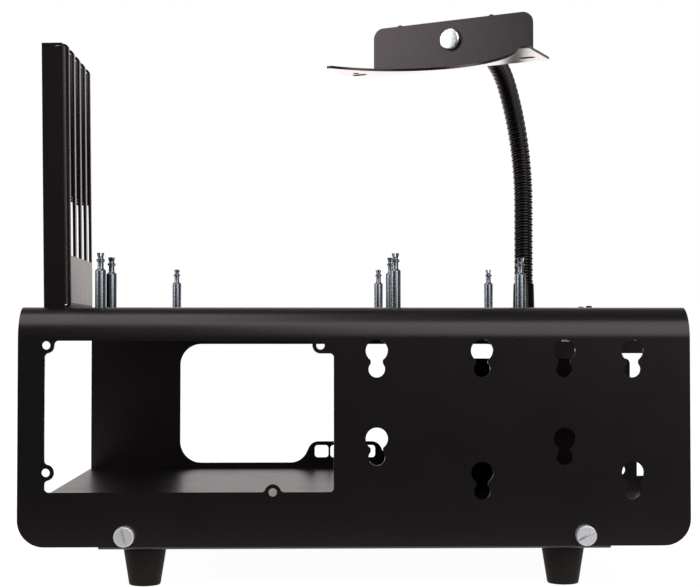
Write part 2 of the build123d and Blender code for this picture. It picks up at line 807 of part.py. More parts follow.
def make_button_hanger():
    """The folded hanger that holds the board under the tray."""
    y_low, y_high = hanger_y()
    left = button_x - board_w / 2
    right = hanger_right
    web_low = tray_top - hanger_drop
    shelf_top = board_top() - board_t
    hanger = box_between((left, y_low, web_low), (right, y_low + hanger_sheet, tray_under))
    hanger += box_between((left, y_high - hanger_sheet, shelf_top - hanger_sheet),
                          (right, y_high, tray_under))
    for foot_low, foot_high in ((y_low - hanger_foot, y_low), (y_high, y_high + hanger_foot)):
        hanger += box_between((left, foot_low, tray_under - hanger_sheet), (right, foot_high, tray_under))
    shelf = box_between((left, y_low, shelf_top - hanger_sheet), (right, y_high, shelf_top))
    middle_y = sum(button_y) / 2
    window = box_between((button_x - 2 * header_w, middle_y - header_l, web_low),
                         (button_x + 2 * header_w, middle_y + header_l, tray_under))
    hanger += shelf - window
    for x, y in hanger_holes():
        hanger -= upright_rod(x, y, tray_under - 2 * sheet, hanger_screw_d + hole_play, 4 * sheet)
    sight_x = (left + board_w + right) / 2
    sight = Cylinder(hanger_sight_d / 2, 4 * hanger_sheet, rotation=(90, 0, 0))
    return hanger - Pos(sight_x, y_low, (web_low + tray_under) / 2) * sight


def group(solids):
    """Several like pieces kept as separate solids in one node."""
    return Compound(children=[piece if isinstance(piece, Solid) else piece.solid() for piece in solids])


def all_parts():
    """Every node of the bench, by name."""
    parts = {"top_shell": make_top_shell(), "base_tray": make_base_tray()}
    feet = foot_places()
    for name, (x, y) in feet.items():
        parts[f"foot_{name}"] = make_foot(x, y)
    parts["foot_screws"] = group([make_foot_screw(x, y) for x, y in feet.values()])
    parts["foot_nuts"] = group([make_foot_nut(x, y) for x, y in feet.values()])
    for (side, outward), turn in thumb_slot_turns.items():
        row = "front" if outward < 0 else "rear"
        x = thumb_x if side == "right" else -thumb_x
        parts[f"thumbscrew_{row}_{side}"] = place_thumbscrew(x, outward, turn)
    parts["press_nuts"] = group([make_press_nut(x, side) for x in (-thumb_x, thumb_x) for side in (-1, 1)])
    spots = standoff_places()
    for (name, (x, y)), turn in zip(spots.items(), standoff_turns):
        parts[f"standoff_{name}"] = make_standoff(x, y, turn)
    parts["standoff_nuts"] = group([make_standoff_nut(x, y) for x, y in spots.values()])
    parts["card_bracket"] = make_card_bracket()
    places = card_foot_holes()
    screws = [make_pan_screw(card_screw_d, card_screw_l, x, y, tray_top + card_sheet) for x, y in places]
    nut = hex_nut(nut_flats, nut_t, card_screw_d)
    parts["card_bracket_screws"] = group(screws)
    parts["card_bracket_nuts"] = group([Pos(x, y, tray_under - nut_t) * nut for x, y in places])
    parts["drive_plate"] = make_drive_plate()
    places = drive_plate_screws()
    screws = [make_pan_screw(hanger_screw_d, small_screw_l, x, y, floor_top + sheet) for x, y in places]
    nut = hex_nut(small_nut_flats, small_nut_t, hanger_screw_d)
    parts["drive_plate_screws"] = group(screws)
    parts["drive_plate_nuts"] = group([Pos(x, y, floor_top - sheet - small_nut_t) * nut for x, y in places])
    parts["arm_base_ferrule"] = make_arm_base()
    parts["arm_washer"] = make_arm_washer()
    parts["arm_nut"] = make_arm_nut()
    parts["gooseneck_tube"] = make_gooseneck()
    parts["arm_end_ferrule"] = make_arm_end()
    parts["fan_bracket"] = make_fan_bracket()
    parts["fan_thumbscrew"] = make_fan_thumbscrew()
    for name, y in zip(("power", "reset"), button_y):
        parts[f"{name}_button"] = make_button(y)
        parts[f"{name}_switch_case"] = make_switch(y)
    parts["button_board"] = make_button_board()
    parts["button_header"] = make_header()
    parts["button_hanger"] = make_button_hanger()
    places = hanger_holes()
    nut_low = tray_under - hanger_sheet - small_nut_t
    parts["button_hanger_studs"] = group([make_flush_stud(x, y) for x, y in places])
    parts["button_hanger_nuts"] = group([Pos(x, y, nut_low) * nut for x, y in places])
    return parts


os.makedirs("parts", exist_ok=True)
for node, shape in all_parts().items():
    export_step(shape, f"parts/{node}.step")
    print(node)
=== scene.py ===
# %% [markdown]
# # An open air test bench
# A test bench is an open stand for trying out computer parts. A main board stands on metal pins on
# a tray, cards are held by a comb at one end, and the power supply and the drives hang underneath.
# This one is folded from sheet steel and powder coated in satin black. A flexible arm holds a fan.
#
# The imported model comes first. It is exact, so every piece made here is placed by its sizes.

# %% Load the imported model
import bpy
import bmesh
import json
import math
from mathutils import Matrix, Vector


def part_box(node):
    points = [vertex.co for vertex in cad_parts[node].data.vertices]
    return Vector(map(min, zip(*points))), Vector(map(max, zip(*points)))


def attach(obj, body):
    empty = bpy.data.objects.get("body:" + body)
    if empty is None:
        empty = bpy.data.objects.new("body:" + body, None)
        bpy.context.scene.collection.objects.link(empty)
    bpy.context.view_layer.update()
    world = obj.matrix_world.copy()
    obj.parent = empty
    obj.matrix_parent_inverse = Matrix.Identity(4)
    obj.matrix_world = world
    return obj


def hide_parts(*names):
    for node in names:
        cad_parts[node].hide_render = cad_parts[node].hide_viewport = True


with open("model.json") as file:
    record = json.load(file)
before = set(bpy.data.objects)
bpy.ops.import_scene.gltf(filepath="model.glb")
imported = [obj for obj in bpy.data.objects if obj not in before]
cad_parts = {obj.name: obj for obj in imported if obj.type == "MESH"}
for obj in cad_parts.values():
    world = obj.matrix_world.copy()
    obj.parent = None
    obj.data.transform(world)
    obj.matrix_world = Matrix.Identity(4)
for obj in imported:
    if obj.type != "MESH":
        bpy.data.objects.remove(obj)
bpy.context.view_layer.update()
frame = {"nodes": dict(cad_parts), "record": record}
nodes = frame["nodes"]
record = frame["record"]
MM = 0.001

# %% [markdown]
# ## The camera
# The photograph was taken from a little below the tray, so the tray's top is never seen. The lens is
# long, about 81 mm on a 36 mm sensor, and the camera stands 0.8 m in front of the front wall. These
# numbers were found by fitting a pinhole camera to the screw holes, whose real distances are known.

# %% Set up the camera
camera_data = bpy.data.cameras.new("camera")
lens_mm = 80.97
tilt_up = 1.604
turn_right = 1.4725
camera_data.lens = lens_mm
camera_data.sensor_width = 36.0
camera_data.sensor_fit = "HORIZONTAL"
camera = bpy.data.objects.new("camera", camera_data)
camera.location = (-0.02336, -0.93106, 0.12694)
camera.rotation_euler = (math.radians(90 + tilt_up), 0, math.radians(-turn_right))
bpy.context.scene.collection.objects.link(camera)
bpy.context.scene.camera = camera
bpy.context.scene.view_settings.view_transform = "Standard"
print("camera is", round(camera.location.z / MM), "mm above the floor")

# %% [markdown]
# ## Two helpers for materials
# Colours are written as they look on a screen, in hex. Blender calculates in linear light, so one
# function turns one into the other. A second function adds a node, sets its values and joins its
# inputs, which keeps each material short enough to read from top to bottom.

# %% Colours and nodes


def linear(hex_colour):
    channels = [int(hex_colour[i:i + 2], 16) / 255 for i in (1, 3, 5)]
    bent = [c / 12.92 if c <= 0.04045 else ((c + 0.055) / 1.055) ** 2.4 for c in channels]
    return (*bent, 1.0)


def add_node(tree, kind, inputs=None, **settings):
    node = tree.nodes.new(kind)
    for name, value in settings.items():
        setattr(node, name, value)
    for name, value in (inputs or {}).items():
        if isinstance(value, bpy.types.NodeSocket):
            tree.links.new(value, node.inputs[name])
        else:
            node.inputs[name].default_value = value
    return node


def new_material(name):
    material = bpy.data.materials.new(name)
    material.use_nodes = True
    material.node_tree.nodes.clear()
    return material, material.node_tree


def finish_material(tree, surface):
    add_node(tree, "ShaderNodeOutputMaterial", {"Surface": surface})


# %% [markdown]
# ## The floor
# The bench stands on a white table that runs on without an edge. A real white sheet would do it, but
# its far edge would show as a grey line. Here the floor glows by itself where the camera sees it, and
# takes only a little light and shadow, so a soft contact shadow stays. Away from the bench the glow
# rises to full white, which hides the far edge. Polished and painted faces see the table too. They
# find it white behind the bench, like the backdrop, and dim in front of it.

# %% Make the floor
white = (1, 1, 1, 1)
room_tint = (1.0, 0.93, 0.91, 1)
shadow_grey = (0.22, 0.22, 0.22, 1)
bpy.ops.mesh.primitive_plane_add(size=12.0, location=(0, 0, 0))
floor = bpy.context.object
floor.name = "floor"
material, tree = new_material("white table")
path = add_node(tree, "ShaderNodeLightPath")
paper = add_node(tree, "ShaderNodeBsdfDiffuse", {"Color": linear("#909090")})
shaded = add_node(tree, "ShaderNodeBsdfDiffuse", {"Color": shadow_grey})
spot = add_node(tree, "ShaderNodeTexCoord")
reach = add_node(tree, "ShaderNodeVectorMath", {0: spot.outputs["Object"]}, operation="LENGTH")
rise = add_node(tree, "ShaderNodeMapRange", {"Value": reach.outputs["Value"], "From Min": 0.3,
                                             "From Max": 0.8, "To Min": 0.965, "To Max": 1.0},
                interpolation_type="SMOOTHSTEP")
glow = add_node(tree, "ShaderNodeEmission", {"Color": white, "Strength": rise.outputs[0]})
seen = add_node(tree, "ShaderNodeAddShader", {0: shaded.outputs[0], 1: glow.outputs[0]})
where = add_node(tree, "ShaderNodeSeparateXYZ", {0: spot.outputs["Object"]})
behind = add_node(tree, "ShaderNodeMapRange", {"Value": where.outputs["Y"], "From Min": -0.4,
                                               "From Max": 1.4, "To Min": 0.12, "To Max": 3.2},
                  interpolation_type="SMOOTHSTEP")
near = add_node(tree, "ShaderNodeMapRange", {"Value": where.outputs["Y"], "From Min": -0.30,
                                             "From Max": -0.18, "To Min": 0.0, "To Max": 0.75},
                interpolation_type="SMOOTHSTEP")
bright = add_node(tree, "ShaderNodeMath", {0: behind.outputs[0], 1: near.outputs[0]}, operation="ADD")
mirrored = add_node(tree, "ShaderNodeEmission", {"Color": room_tint, "Strength": bright.outputs[0]})
shiny = add_node(tree, "ShaderNodeMath", {0: path.outputs["Is Glossy Ray"],
                                          1: path.outputs["Is Transmission Ray"]}, operation="MAXIMUM")
unseen = add_node(tree, "ShaderNodeMixShader", {0: shiny.outputs[0], 1: paper.outputs[0],
                                                2: mirrored.outputs[0]})
both = add_node(tree, "ShaderNodeMixShader", {0: path.outputs["Is Camera Ray"], 1: unseen.outputs[0],
                                              2: seen.outputs[0]})
finish_material(tree, both.outputs[0])
floor.data.materials.append(material)
print("floor", round(floor.dimensions.x), "m wide")

# %% [markdown]
# ## The light
# Black satin paint shows mostly what it reflects. In the photograph the walls that face the camera
# are nearly black, so the room in front of them was dark, and everything seen at a low angle shines,
# so the backdrop behind was white. The world copies that: dark and slightly warm towards the camera,
# white behind, and grey overhead. The pale band along the bend sits high on the left and lower on
# the right, so a soft lamp hangs overhead on the left and a larger one stands in front on the right.
# A softbox on the far left lights the fan bracket, and a narrow strip edges the pieces on the right.

# %% Light the scene
world = bpy.data.worlds.new("studio")
bpy.context.scene.world = world
world.use_nodes = True
tree = world.node_tree
tree.nodes.clear()
where = add_node(tree, "ShaderNodeTexCoord")
parts = add_node(tree, "ShaderNodeSeparateXYZ", {0: where.outputs["Generated"]})
backdrop = add_node(tree, "ShaderNodeMapRange", {"Value": parts.outputs["Y"], "From Min": 0.50,
                                                 "From Max": 0.97, "To Min": 0.14, "To Max": 1.1},
                    interpolation_type="SMOOTHSTEP")
ceiling = add_node(tree, "ShaderNodeMapRange", {"Value": parts.outputs["Z"], "From Min": 0.15,
                                                "From Max": 0.70, "To Min": 1.0, "To Max": 0.30},
                   interpolation_type="SMOOTHSTEP")
above = add_node(tree, "ShaderNodeMapRange", {"Value": parts.outputs["Z"], "From Min": 0.50,
                                              "From Max": 0.85, "To Min": 0.0, "To Max": 0.13},
                 interpolation_type="SMOOTHSTEP")
room = add_node(tree, "ShaderNodeMath", {0: backdrop.outputs[0], 1: ceiling.outputs[0],
                                         2: above.outputs[0]}, operation="MULTIPLY_ADD")
path = add_node(tree, "ShaderNodeLightPath")
dim = add_node(tree, "ShaderNodeBackground", {"Color": room_tint, "Strength": room.outputs[0]})
blank = add_node(tree, "ShaderNodeBackground", {"Color": white, "Strength": 1.0})
sky = add_node(tree, "ShaderNodeMixShader", {0: path.outputs["Is Camera Ray"], 1: dim.outputs[0],
                                             2: blank.outputs[0]})
add_node(tree, "ShaderNodeOutputWorld", {"Surface": sky.outputs[0]})


def soft_lamp(name, place, aim, wide, tall, watts):
    data = bpy.data.lights.new(name, "AREA")
    data.shape = "RECTANGLE"
    data.size = wide
    data.size_y = tall
    data.energy = watts
    lamp = bpy.data.objects.new(name, data)
    lamp.location = place
    lamp.rotation_euler = (Vector(aim) - Vector(place)).to_track_quat("-Z", "Y").to_euler()
    bpy.context.scene.collection.objects.link(lamp)
    return lamp


lamps = [
    soft_lamp("front softbox", (0.66, -1.35, 1.15), aim=(0.3, -0.1, 0.14), wide=1.5, tall=1.63, watts=17.0),
    soft_lamp("overhead softbox", (-0.61, -0.57, 1.7), aim=(-0.61, -0.57, 0.0), wide=1.1, tall=1.5,
              watts=10.8),
    soft_lamp("left softbox", (-1.5, -0.47, 0.66), aim=(0.05, -0.06, 0.25), wide=0.9, tall=0.62, watts=6.6),
    soft_lamp("right strip", (0.88, -1.25, 0.35), aim=(0, 0, 0.2), wide=0.25, tall=1.0, watts=2.4)]
print("lamps", [lamp.name for lamp in lamps])

# %% [markdown]
# ## Satin black powder coat
# Folded steel is sprayed with dry polyester powder and baked. The film is a dielectric, about 80
# microns thick, with a faint orange peel: soft bumps a little under a millimetre across. It stays
# dark when looked at squarely and turns silvery at a low angle. Its gloss drifts by a hair in patches
# of about three centimetres. The floor's coat is a little more matt. The drive plate's coat is a little
# glossier, and its colour is painted a deeper black: painted shade, for the shade inside the bench,
# where almost nothing of that plate shows through the keyholes.

# %% Powder coat


def orange_peel(name, colour, bump_size, bump_depth, gloss_low, gloss_high):
    patch_size = 28 * MM
    material, tree = new_material(name)
    place = add_node(tree, "ShaderNodeTexCoord")
    grain = add_node(tree, "ShaderNodeTexNoise", {"Vector": place.outputs["Object"], "Scale": 1 / bump_size,
                                                  "Detail": 2.0, "Roughness": 0.5})
    patches = add_node(tree, "ShaderNodeTexNoise", {"Vector": place.outputs["Object"],
                                                    "Scale": 1 / patch_size, "Detail": 3.0})
    gloss = add_node(tree, "ShaderNodeMapRange", {"Value": patches.outputs["Fac"], "From Min": 0.3,
                                                  "From Max": 0.7, "To Min": gloss_low,
                                                  "To Max": gloss_high})
    tint = add_node(tree, "ShaderNodeMapRange", {"Value": grain.outputs["Fac"], "From Min": 0.3,
                                                 "From Max": 0.7, "To Min": 0.88, "To Max": 1.12})
    shade = add_node(tree, "ShaderNodeMix", {"Factor": 1.0, "A": linear(colour), "B": tint.outputs[0]},
                     data_type="RGBA", blend_type="MULTIPLY")
    bumps = add_node(tree, "ShaderNodeBump", {"Height": grain.outputs["Fac"], "Strength": 0.6,
                                              "Distance": bump_depth})
    paint = add_node(tree, "ShaderNodeBsdfPrincipled", {"Base Color": shade.outputs[2], "IOR": 1.5,
                                                        "Specular Tint": (1.0, 0.87, 0.94, 1.0),
                                                        "Roughness": gloss.outputs[0],
                                                        "Normal": bumps.outputs[0]})
    finish_material(tree, paint.outputs[0])
    return material


peel = 0.8 * MM
powder_coat = orange_peel("satin black powder coat", "#0a0809", peel, 0.05 * MM, gloss_low=0.265,
                          gloss_high=0.29)
matt_coat = orange_peel("matt black powder coat", "#0a0809", peel, 0.03 * MM, gloss_low=0.32,
                        gloss_high=0.35)
# The drive plate's coat: its deeper black colour is painted shade.
shade_darkened_coat = orange_peel("powder coat darkened as painted shade", "#040303", peel, 0.03 * MM, gloss_low=0.18,
                        gloss_high=0.2)
print("powder coat has", len(powder_coat.node_tree.nodes), "nodes")

# %% [markdown]
# ## Bright zinc plating
# Standoffs, screws and nuts are turned from steel and plated with zinc, a bluish silver metal. The
# lathe leaves fine rings round each part, which catch the light as thin bands. Real rings are about
# a tenth of a millimetre apart, too fine to show, so they are drawn at 0.7 mm. The thumbscrews' heads
# are frosted, which spreads the light, and the fan screw's is polished. The one metal is painted in
# three brightnesses: darker on the standoffs, shanks and nuts, lighter on the thumbscrews' heads, and
# nearly white on the fan screw. These are painted shade and painted light, and the fan screw's white
# is a painted highlight.

# %% Zinc plating


def plated_metal(name, colour, ring_size, gloss_low, gloss_high):
    band_at_scale_one = 0.31
    cloud_size = 4 * MM
    ring_depth = 0.02 * MM
    material, tree = new_material(name)
    place = add_node(tree, "ShaderNodeTexCoord")
    rings = add_node(tree, "ShaderNodeTexWave", {"Vector": place.outputs["Object"],
                                                 "Scale": band_at_scale_one / ring_size,
                                                 "Distortion": 0.0, "Detail": 0.0},
                     wave_type="BANDS", bands_direction="Z")
    clouds = add_node(tree, "ShaderNodeTexNoise", {"Vector": place.outputs["Object"],
                                                   "Scale": 1 / cloud_size, "Detail": 2.0})
    gloss = add_node(tree, "ShaderNodeMapRange", {"Value": clouds.outputs["Fac"], "From Min": 0.3,
                                                  "From Max": 0.7, "To Min": gloss_low,
                                                  "To Max": gloss_high})
    bumps = add_node(tree, "ShaderNodeBump", {"Height": rings.outputs["Fac"], "Strength": 0.7,
                                              "Distance": ring_depth})
    metal = add_node(tree, "ShaderNodeBsdfPrincipled", {"Base Color": linear(colour), "Metallic": 1.0,
                                                        "Roughness": gloss.outputs[0],
                                                        "Normal": bumps.outputs[0]})
    finish_material(tree, metal.outputs[0])
    return material


ring_pitch = 0.7 * MM
# Plain zinc for standoffs, shanks and nuts: its darker colour is painted shade.
zinc = plated_metal("bright zinc plated steel", "#858c94", ring_pitch, gloss_low=0.22, gloss_high=0.25)
# The knurled heads' zinc: its lighter colour is painted light.
frosted_zinc_painted_light = plated_metal("frosted zinc plated steel painted lighter", "#d6d9dc", ring_pitch, gloss_low=0.52,
                            gloss_high=0.58)
# The fan screw's zinc: its nearly white colour is a painted highlight.
polished_zinc_painted_highlight = plated_metal("polished zinc plated steel painted highlight", "#dfe2e5", ring_pitch, gloss_low=0.24,
                             gloss_high=0.30)
print("zinc finishes", zinc.name, "and", frosted_zinc_painted_light.name, "and", polished_zinc_painted_highlight.name)

# %% [markdown]
# ## Rubber, plastic and coated coil
# The feet are moulded from black rubber. It is matt, a little brown, with a sandy surface from its
# mould. The push buttons and switches are black plastic: smoother, and a little shinier. The arm's
# coil and its two sleeves are steel under a thin brownish black coat, so they shine as plastic does
# and not as metal. All four are grained alike and differ in colour, gloss and size of grain.

# %% Rubber and plastic


def moulded(name, colour, roughness, grain_size, strength, ior=1.5):
    grain_depth = 0.05 * MM
    material, tree = new_material(name)
    place = add_node(tree, "ShaderNodeTexCoord")
    grain = add_node(tree, "ShaderNodeTexNoise", {"Vector": place.outputs["Object"],
                                                  "Scale": 1 / grain_size, "Detail": 4.0})
    tint = add_node(tree, "ShaderNodeMapRange", {"Value": grain.outputs["Fac"], "From Min": 0.3,
                                                 "From Max": 0.7, "To Min": 0.8, "To Max": 1.25})
    shade = add_node(tree, "ShaderNodeMix", {"Factor": 1.0, "A": linear(colour), "B": tint.outputs[0]},
                     data_type="RGBA", blend_type="MULTIPLY")
    bumps = add_node(tree, "ShaderNodeBump", {"Height": grain.outputs["Fac"], "Strength": strength,
                                              "Distance": grain_depth})
    surface = add_node(tree, "ShaderNodeBsdfPrincipled", {"Base Color": shade.outputs[2],
                                                          "Roughness": roughness, "IOR": ior,
                                                          "Normal": bumps.outputs[0]})
    finish_material(tree, surface.outputs[0])
    return material


rubber = moulded("moulded black rubber", "#1a1716", 0.66, grain_size=0.7 * MM, strength=0.35, ior=1.3)
button_plastic = moulded("black moulded plastic", "#121112", 0.38, grain_size=0.5 * MM, strength=0.15)
coil_coating = moulded("satin coated steel coil", "#0c0806", 0.24, grain_size=0.6 * MM, strength=0.12,
                       ior=1.36)
ferrule_coating = moulded("satin coated turned steel", "#080605", 0.24, grain_size=0.8 * MM,
                          strength=0.10, ior=1.25)
print("moulded and coated finishes", rubber.name, "and", coil_coating.name)

# %% [markdown]
# ## Circuit board
# The small board under the tray is glass fibre with a green lacquer. Copper tracks lie under the
# lacquer and show as slightly lighter lines, three quarters of a millimetre apart. A brick pattern
# gives such lines: at scale one its rows are a quarter of a unit high.

# %% Circuit board lacquer
track_pitch = 0.75 * MM
row_at_scale_one = 0.25
board_lacquer, tree = new_material("green lacquered glass fibre")
place = add_node(tree, "ShaderNodeTexCoord")
tracks = add_node(tree, "ShaderNodeTexBrick", {"Vector": place.outputs["Object"],
                                               "Scale": row_at_scale_one / track_pitch,
                                               "Color1": linear("#0f4a26"), "Color2": linear("#0c4020"),
                                               "Mortar": linear("#1d6a3a"), "Mortar Size": 0.03})
lacquer = add_node(tree, "ShaderNodeBsdfPrincipled", {"Base Color": tracks.outputs["Color"],
                                                      "Roughness": 0.28, "IOR": 1.52})
finish_material(tree, lacquer.outputs[0])
print("board lacquer", board_lacquer.name)

# %% [markdown]
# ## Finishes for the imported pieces
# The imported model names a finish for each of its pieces. Each name is given its material here. The
# pieces that are dressed later take the finish of the piece they stand for.

# %% Put the finishes on
finish_of = {"powder_coat_black": powder_coat, "zinc_plated_steel": zinc, "rubber_black": rubber,
             "gooseneck_black": coil_coating, "ferrule_black": ferrule_coating,
             "button_black": button_plastic, "switch_plastic": button_plastic,
             "circuit_board": board_lacquer}
slot_of = {entry["node"]: entry["material_slot"] for entry in record["subparts"]}
for node_name, slot in slot_of.items():
    nodes[node_name].data.materials.clear()
    nodes[node_name].data.materials.append(finish_of[slot])
print("finishes on", len(slot_of), "packed pieces")

# %% [markdown]
# ## Small helpers for modelling
# An operator acts on everything that is selected, so each piece starts from an empty selection. Points
# closer than the weld gap are one point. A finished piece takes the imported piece's place, its body
# and its finish. What repeats is modelled once as a pattern, and each twin of it has its own mesh.

# %% Helpers for modelling
weld_gap = 0.002 * MM
body_of = {}
for body_name, members in record["behaviour"]["bodies"].items():
    for member in members:
        body_of[member] = body_name


def only(piece):
    bpy.ops.object.select_all(action="DESELECT")
    piece.select_set(True)
    bpy.context.view_layer.objects.active = piece


def tidy_mesh(piece):
    only(piece)
    bpy.ops.object.mode_set(mode="EDIT")
    bpy.ops.mesh.select_all(action="SELECT")
    bpy.ops.mesh.remove_doubles(threshold=weld_gap)
    bpy.ops.mesh.normals_make_consistent(inside=False)
    bpy.ops.object.mode_set(mode="OBJECT")


def soften(piece, width, segments=2, angle=30):
    smooth_up_to = angle + 10
    only(piece)
    bevel = piece.modifiers.new("soft edges", "BEVEL")
    bevel.width = width
    bevel.segments = segments
    bevel.limit_method = "ANGLE"
    bevel.angle_limit = math.radians(angle)
    bevel.use_clamp_overlap = True
    bpy.ops.object.modifier_apply(modifier=bevel.name)
    bpy.ops.object.shade_smooth_by_angle(angle=math.radians(smooth_up_to))


def settle(piece, matrix):
    only(piece)
    piece.matrix_world = matrix
    bpy.ops.object.transform_apply(location=True, rotation=True, scale=True)


def stand_for(piece, node_name, finish=None):
    piece.data.materials.clear()
    piece.data.materials.append(finish or finish_of[slot_of[node_name]])
    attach(piece, body_of[node_name])
    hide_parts(node_name)
    return piece


def twin(pattern, name, matrix):
    piece = bpy.data.objects.new(name, pattern.data.copy())
    bpy.context.scene.collection.objects.link(piece)
    settle(piece, matrix)
    return piece


def discard(piece):
    bpy.data.objects.remove(piece, do_unlink=True)


# %% [markdown]
# ## Folded sheet pieces
# The tray, the base, the brackets and the drive plate are cut from sheet by a laser, folded, and
# coated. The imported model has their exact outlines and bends, but its edges are knife sharp. Real
# coated edges are round, and they catch a thin line of light. A copy of each one is merged into a
# closed mesh, and a bevel of a few tenths of a millimetre rounds every edge.

# %% Round the edges of the sheet pieces
flat_within = math.radians(0.4)
edge_round = 0.3 * MM


def merged_copy(node_name):
    piece = bpy.data.objects.new(node_name + "_coated", nodes[node_name].data.copy())
    bpy.context.scene.collection.objects.link(piece)
    only(piece)
    bpy.ops.object.mode_set(mode="EDIT")
    bpy.ops.mesh.select_all(action="SELECT")
    bpy.ops.mesh.remove_doubles(threshold=weld_gap)
    bpy.ops.mesh.dissolve_limited(angle_limit=flat_within)
    bpy.ops.object.mode_set(mode="OBJECT")
    return piece


def round_and_place(piece, node_name, width, segments=2, finish=None):
    soften(piece, width, segments)
    weights = piece.modifiers.new("flat faces stay flat", "WEIGHTED_NORMAL")
    weights.keep_sharp = True
    bpy.ops.object.modifier_apply(modifier=weights.name)
    print(piece.name, len(piece.data.polygons), "faces")
    return stand_for(piece, node_name, finish)


for sheet_name in ("top_shell", "fan_bracket", "button_hanger"):
    round_and_place(merged_copy(sheet_name), sheet_name, edge_round)
round_and_place(merged_copy("base_tray"), "base_tray", edge_round, finish=matt_coat)
# The drive plate takes the coat whose darker colour is painted shade.
round_and_place(merged_copy("drive_plate"), "drive_plate", edge_round, finish=shade_darkened_coat)

# %% [markdown]
# ## The card bracket
# On the real bracket the front flange runs square to its head and its foot, and the whole bracket
# leans outward by a little under one degree, because a folded foot never comes out at exactly a
# right angle. So the front face of the flange is drawn out square at its outer corners, its gaps at
# the head and the foot are closed, and the bracket is leaned about the line where it stands. Each
# corner's points are pressed flat onto the flange's edge, and then the whole edge is moved outward.

# %% Square the flange and lean the bracket
close_by = 0.1 * MM
flange_edge = 1.6 * MM
flange_face = 1.3 * MM
corner_reach = 3.1 * MM
gap_to_close = 0.35 * MM
lean_degrees = 0.8
card_bracket = merged_copy("card_bracket")
low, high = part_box("card_bracket")
foot_edge = low.z + flange_edge
head_edge = high.z - flange_edge
bpy.ops.object.mode_set(mode="EDIT")
bpy.ops.mesh.select_mode(type="VERT")
for edge, outward in ((foot_edge, -gap_to_close), (head_edge, gap_to_close)):
    bpy.ops.mesh.select_all(action="DESELECT")
    for vertex in bmesh.from_edit_mesh(card_bracket.data).verts:
        place = vertex.co
        in_corner = abs(place.z - edge) < corner_reach and place.x < low.x + corner_reach
        in_height = foot_edge - close_by < place.z < head_edge + close_by
        vertex.select_set(in_corner and in_height and place.y < low.y + flange_face)
    bmesh.update_edit_mesh(card_bracket.data)
    bpy.ops.transform.resize(value=(1, 1, 0), center_override=(low.x, low.y, edge))
    for vertex in bmesh.from_edit_mesh(card_bracket.data).verts:
        on_edge = abs(vertex.co.z - edge) < close_by
        vertex.select_set(vertex.co.y < low.y + flange_face and on_edge)
    bmesh.update_edit_mesh(card_bracket.data)
    bpy.ops.transform.translate(value=(0, 0, outward))
bpy.ops.object.mode_set(mode="OBJECT")
foot_line = Vector((high.x, 0, low.z))
lean = Matrix.Rotation(math.radians(-lean_degrees), 4, "Y")
settle(card_bracket, Matrix.Translation(foot_line) @ lean @ Matrix.Translation(-foot_line))
round_and_place(card_bracket, "card_bracket", edge_round)
print("card bracket leans", lean_degrees, "degrees")

# %% [markdown]
# ## A line of points
# Several pieces begin as an outline. A plane is merged into one point, the point is moved to the
# outline's start, and it is extruded from corner to corner in the upright plane that faces the
# camera. The helper stops in edit mode, so that the line can be filled, spun or wound.

# %% Draw a line


def drawn_line(name, points):
    bpy.ops.object.select_all(action="DESELECT")
    bpy.ops.mesh.primitive_plane_add(size=MM, location=(0, 0, 0))
    piece = bpy.context.object
    piece.name = name
    bpy.ops.object.mode_set(mode="EDIT")
    bpy.ops.mesh.select_all(action="SELECT")
    bpy.ops.mesh.merge(type="CENTER")
    across, up = points[0]
    bpy.ops.transform.translate(value=(across * MM, 0, up * MM))
    for next_across, next_up in points[1:]:
        step = ((next_across - across) * MM, 0, (next_up - up) * MM)
        bpy.ops.mesh.extrude_vertices_move(TRANSFORM_OT_translate={"value": step})
        across, up = next_across, next_up
    return piece


# %% [markdown]
# ## The slot walls
# The sheet from each slot isn't thrown away. Its upper part is folded back along the far bar as a
# deep wall, which stiffens the bracket and hides the view through the slots, and a narrow wedge of it
# runs on down to the slot's foot. Each wall starts as one flat face, drawn point by point from the
# bracket's foot line, and is given the sheet's thickness. The slots are one card pitch apart.

# %% Fold back the slot walls
slot_count = 4
card_pitch = 20.32 * MM
wall_sheet = 1.2 * MM
wall_outline = [(-0.6, 28), (-1.2, 28), (-1.7, 60.5), (-8.5, 60.7), (-8.5, 137), (-0.6, 137)]
slot_wall = drawn_line("slot wall pattern", wall_outline)
bpy.ops.mesh.select_all(action="SELECT")
bpy.ops.mesh.edge_face_add()
bpy.ops.mesh.extrude_region_move(TRANSFORM_OT_translate={"value": (0, wall_sheet, 0)})
bpy.ops.object.mode_set(mode="OBJECT")
tidy_mesh(slot_wall)
soften(slot_wall, edge_round)
for index in range(slot_count):
    bar_y = low.y + (index + 1) * card_pitch
    spot = Matrix.Translation(foot_line) @ lean @ Matrix.Translation((0, bar_y, 0))
    stand_for(twin(slot_wall, f"slot_wall_{index}", spot), "card_bracket")
discard(slot_wall)
print("slot walls", slot_count)

# %% [markdown]
# ## Turned pieces
# A lathe turns a bar and cuts a profile into it. The same is done here: the profile is drawn as a
# line, its radius across and its height up, in millimetres, and spun round the upright axis. A slot
# is cut with a flat blade that reaches right across the piece, from one height to another.

# %% A lathe and a slot cutter
blade_length = 40.0


def turned(name, profile, steps=48):
    piece = drawn_line(name, profile)
    bpy.ops.mesh.select_all(action="SELECT")
    bpy.ops.mesh.spin(steps=steps, angle=math.tau, center=(0, 0, 0), axis=(0, 0, 1))
    bpy.ops.object.mode_set(mode="OBJECT")
    tidy_mesh(piece)
    return piece


